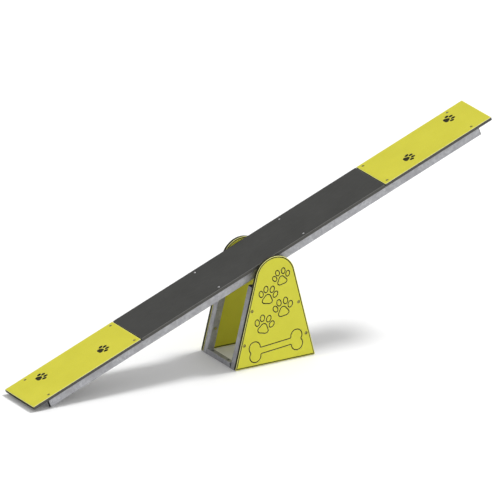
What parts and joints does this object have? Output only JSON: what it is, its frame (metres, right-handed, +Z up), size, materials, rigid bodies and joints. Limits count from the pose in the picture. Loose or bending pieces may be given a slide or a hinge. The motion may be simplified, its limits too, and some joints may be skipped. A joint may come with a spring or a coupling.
{
  "type": "agility seesaw",
  "caption": "Tipping plank with yellow contact ends and a grey middle on two steel rails, pivoted on an axle in a stand of leaning legs and round-topped yellow side panels.",
  "frame": {"origin": "centre of the underside of the object's box at rest, on the ground", "axes": "+X along the plank towards its raised end, +Y across the plank to the far side, +Z up"},
  "size_m": [2.8008, 0.358, 1.1155],
  "materials": {
    "yellow_board": "UV-stable polyethylene board, faintly grained, dark core showing at cut edges and engravings",
    "grey_deck_board": "dark grey polyethylene board with a fine anti-slip grain",
    "galvanised_steel": "hot-dip galvanised, matt with a light spangle",
    "zinc_plated_steel": "bright zinc-plated or stainless fasteners and axle",
    "black_plastic": "moulded black plastic plugs",
    "bush_plastic": "natural nylon bearing bushes"
  },
  "bodies": {
    "stand": {"near_side_panel": "yellow_board", "far_side_panel": "yellow_board", "near_low_leg": "galvanised_steel", "near_high_leg": "galvanised_steel", "far_low_leg": "galvanised_steel", "far_high_leg": "galvanised_steel", "near_low_leg_cap": "black_plastic", "near_high_leg_cap": "black_plastic", "far_low_leg_cap": "black_plastic", "far_high_leg_cap": "black_plastic", "low_foot_bar": "galvanised_steel", "high_foot_bar": "galvanised_steel", "near_head_plate": "galvanised_steel", "far_head_plate": "galvanised_steel", "pivot_axle": "zinc_plated_steel", "near_axle_nut": "zinc_plated_steel", "far_axle_nut": "zinc_plated_steel", "near_axle_spacer": "zinc_plated_steel", "far_axle_spacer": "zinc_plated_steel", "panel_bolt_01": "zinc_plated_steel", "panel_bolt_02": "zinc_plated_steel", "panel_bolt_03": "zinc_plated_steel", "panel_bolt_04": "zinc_plated_steel", "panel_bolt_05": "zinc_plated_steel", "panel_bolt_06": "zinc_plated_steel", "panel_bolt_07": "zinc_plated_steel", "panel_bolt_08": "zinc_plated_steel"},
    "plank": {"lower_contact_panel": "yellow_board", "centre_deck_panel": "grey_deck_board", "upper_contact_panel": "yellow_board", "near_rail": "galvanised_steel", "far_rail": "galvanised_steel", "near_low_rail_cap": "black_plastic", "near_high_rail_cap": "black_plastic", "far_low_rail_cap": "black_plastic", "far_high_rail_cap": "black_plastic", "low_end_crossbar": "galvanised_steel", "high_end_crossbar": "galvanised_steel", "low_joint_crossbar": "galvanised_steel", "high_joint_crossbar": "galvanised_steel", "low_pivot_crossbar": "galvanised_steel", "high_pivot_crossbar": "galvanised_steel", "near_pivot_ear": "galvanised_steel", "far_pivot_ear": "galvanised_steel", "near_pivot_bush": "bush_plastic", "far_pivot_bush": "bush_plastic", "pivot_sleeve": "galvanised_steel", "deck_screw_01": "zinc_plated_steel", "deck_screw_02": "zinc_plated_steel", "deck_screw_03": "zinc_plated_steel", "deck_screw_04": "zinc_plated_steel", "deck_screw_05": "zinc_plated_steel", "deck_screw_06": "zinc_plated_steel", "deck_screw_07": "zinc_plated_steel", "deck_screw_08": "zinc_plated_steel", "deck_screw_09": "zinc_plated_steel", "deck_screw_10": "zinc_plated_steel", "deck_screw_11": "zinc_plated_steel", "deck_screw_12": "zinc_plated_steel"}
  },
  "joints": [
    {"name": "plank_pivot", "type": "hinge", "parent": "stand", "child": "plank", "pos_m": [0.0514, 0, 0.48], "axis": [0, 1, 0], "range_deg": [0, 42.75]}
  ]
}
